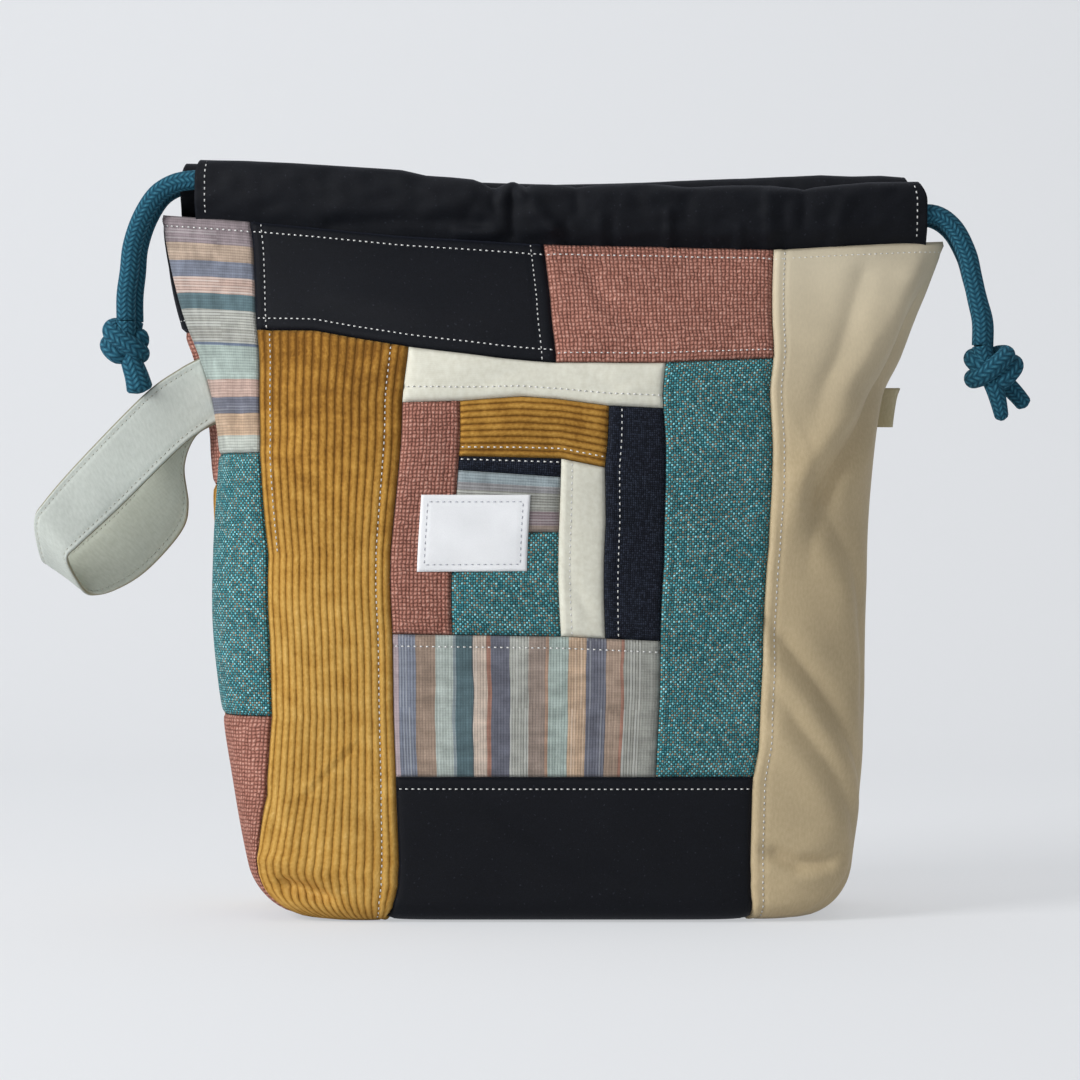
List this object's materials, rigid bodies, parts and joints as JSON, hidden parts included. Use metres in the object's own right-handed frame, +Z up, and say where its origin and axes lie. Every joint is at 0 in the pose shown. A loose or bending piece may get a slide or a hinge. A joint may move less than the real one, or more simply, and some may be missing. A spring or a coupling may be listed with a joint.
{
  "type": "drawstring project bag",
  "caption": "Patchwork fabric project bag with a boxed base, a drawstring neck with knotted cords, a folded wrist strap and a small side tab.",
  "frame": {"origin": "centre of the base on the surface the bag stands on", "axes": "+Z up, +X towards the end with the side tab, -Y out of the labelled front"},
  "size_m": [0.4495, 0.1154, 0.3387],
  "materials": {
    "navy": "smooth tightly woven cotton",
    "mustard": "wide-wale corduroy",
    "pink": "basket weave",
    "teal": "tweed",
    "cream": "plain weave",
    "beige": "satin twill",
    "striped": "woven stripes",
    "lining": "plain cotton",
    "casing": "smooth cotton with a slight sheen",
    "strap": "twill, edge-stitched",
    "tab": "ribbon",
    "cord": "braided cotton",
    "label": "woven label, blank"
  },
  "bodies": {
    "bag": {"front_striped_side": "striped", "front_teal_side": "teal", "front_pink_side": "pink", "front_navy_top": "navy", "front_pink_top": "pink", "front_corduroy_side": "mustard", "front_cream_top": "cream", "front_pink_inner": "pink", "front_corduroy_inner": "mustard", "front_navy_strip": "navy", "front_striped_inner": "striped", "front_teal_inner": "teal", "front_cream_inner": "cream", "front_navy_inner": "navy", "front_striped_bottom": "striped", "front_teal_right": "teal", "front_navy_bottom": "navy", "front_beige_side": "beige", "back_navy_top": "navy", "back_pink_side": "pink", "back_corduroy_side": "mustard", "back_teal_top": "teal", "back_cream_band": "cream", "back_striped_bottom": "striped", "back_beige_side": "beige", "back_corduroy_corner": "mustard", "label": "label", "front_casing": "casing", "back_casing": "casing", "lining": "lining", "wrist_strap": "strap", "side_tab": "tab"},
    "left_cord": {"left_drawcord": "cord", "left_knot": "cord"},
    "right_cord": {"right_drawcord": "cord", "right_knot": "cord"}
  },
  "joints": [
    {"name": "left_cord_slide", "type": "slide", "parent": "bag", "child": "left_cord", "axis": [-1, 0, 0], "range_m": [0, 0.0035]},
    {"name": "right_cord_slide", "type": "slide", "parent": "bag", "child": "right_cord", "axis": [1, 0, 0], "range_m": [0, 0.0035]}
  ]
}
